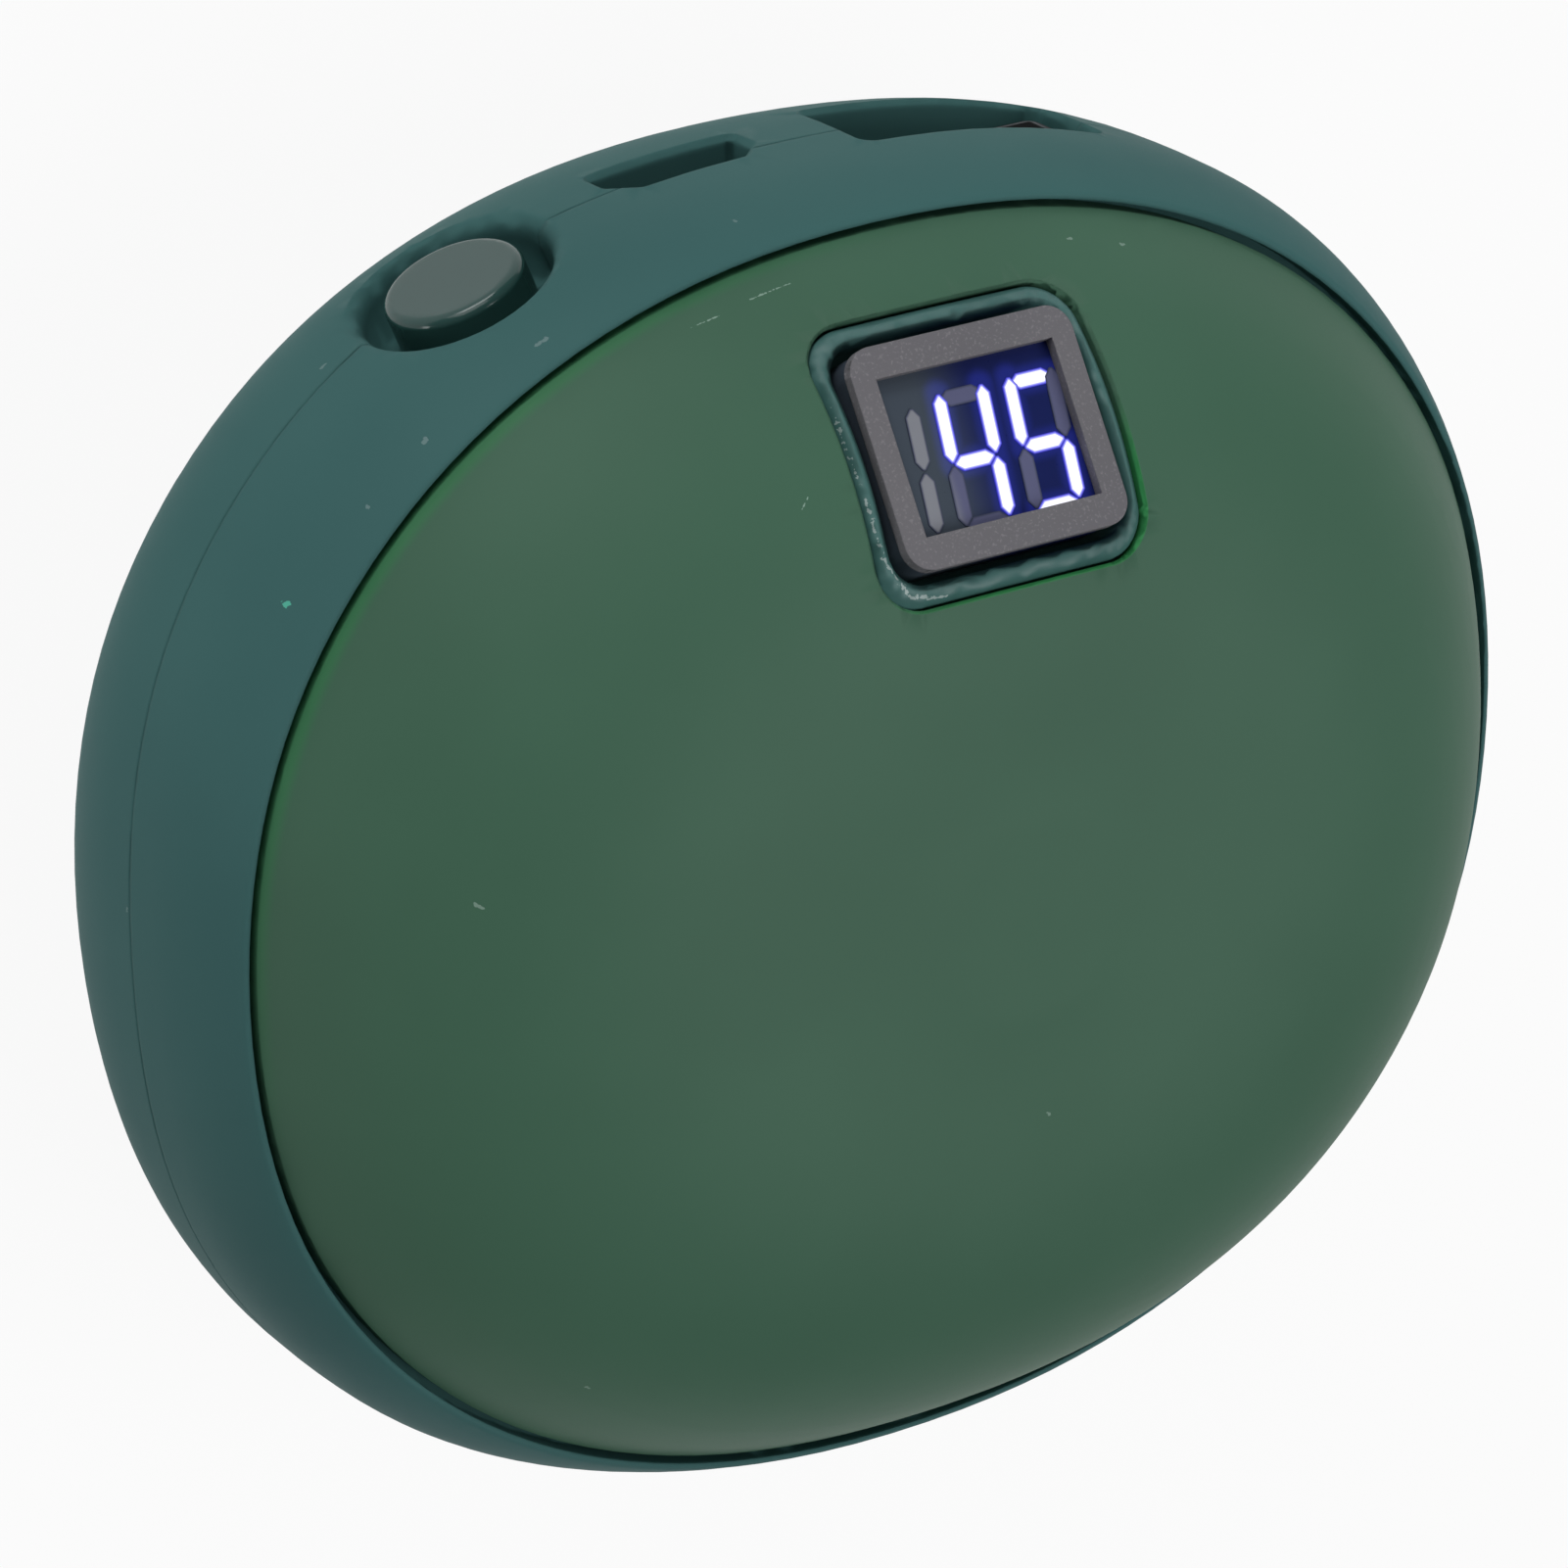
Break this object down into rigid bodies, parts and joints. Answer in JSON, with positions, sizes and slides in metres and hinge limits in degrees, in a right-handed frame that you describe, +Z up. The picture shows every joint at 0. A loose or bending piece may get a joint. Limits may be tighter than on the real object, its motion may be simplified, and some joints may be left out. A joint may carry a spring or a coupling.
{
  "type": "rechargeable hand warmer",
  "caption": "Pebble-shaped pocket hand warmer with domed heating panels in a moulded frame, a lit reading, a push button and charging and output sockets.",
  "frame": {"origin": "middle of the flat on the rear panel that the part lies on", "axes": "+X along the length, +Y towards the sockets, +Z up out of the front panel"},
  "size_m": [0.074, 0.0662, 0.04],
  "materials": {
    "frame_plastic": "fine satin",
    "panel_paint": "soft matt paint",
    "bezel_plate": "matt",
    "display_dark": "smooth",
    "button_gloss": "polished",
    "switch_plastic": "moulded",
    "board_laminate": "lacquered",
    "socket_steel": "plated",
    "socket_plastic": "moulded",
    "contact_metal": "gold plated",
    "chip_plastic": "moulded",
    "ferrite": "sintered",
    "ribbon_film": "smooth film",
    "pouch_foil": "satin foil",
    "tape_white": "matt",
    "lead_red": "smooth",
    "lead_black": "smooth",
    "heater_film": "smooth film",
    "foam_grey": "open foam",
    "sensor_glass": "smooth",
    "screw_steel": "plated"
  },
  "bodies": {
    "housing": {"front_frame": "frame_plastic", "rear_frame": "frame_plastic", "front_panel": "panel_paint", "rear_panel": "panel_paint", "display_surround": "frame_plastic", "display_bezel": "bezel_plate", "display_module": "display_dark", "display_ribbon": "ribbon_film", "ribbon_connector": "socket_plastic", "switch_body": "switch_plastic", "usb_a_shell": "socket_steel", "usb_a_tongue": "socket_plastic", "usb_a_contacts": "contact_metal", "micro_usb_shell": "socket_steel", "micro_usb_tongue": "socket_plastic", "micro_usb_contacts": "contact_metal", "main_board": "board_laminate", "controller_chip": "chip_plastic", "power_inductor": "ferrite", "front_cell": "pouch_foil", "rear_cell": "pouch_foil", "cell_tape": "tape_white", "protection_board": "board_laminate", "positive_lead": "lead_red", "negative_lead": "lead_black", "front_heater": "heater_film", "rear_heater": "heater_film", "front_foam": "foam_grey", "rear_foam": "foam_grey", "front_heater_leads": "lead_red", "rear_heater_leads": "lead_red", "heat_sensor": "sensor_glass", "frame_screws": "screw_steel", "board_screws": "screw_steel"},
    "button": {"button_cap": "button_gloss", "switch_plunger": "switch_plastic"}
  },
  "joints": [
    {"name": "button_press", "type": "slide", "parent": "housing", "child": "button", "axis": [0.3706, -0.9288, 0], "range_m": [0, 0.00035], "stiffness_N_per_m": 400, "springref_m": -0.001}
  ]
}
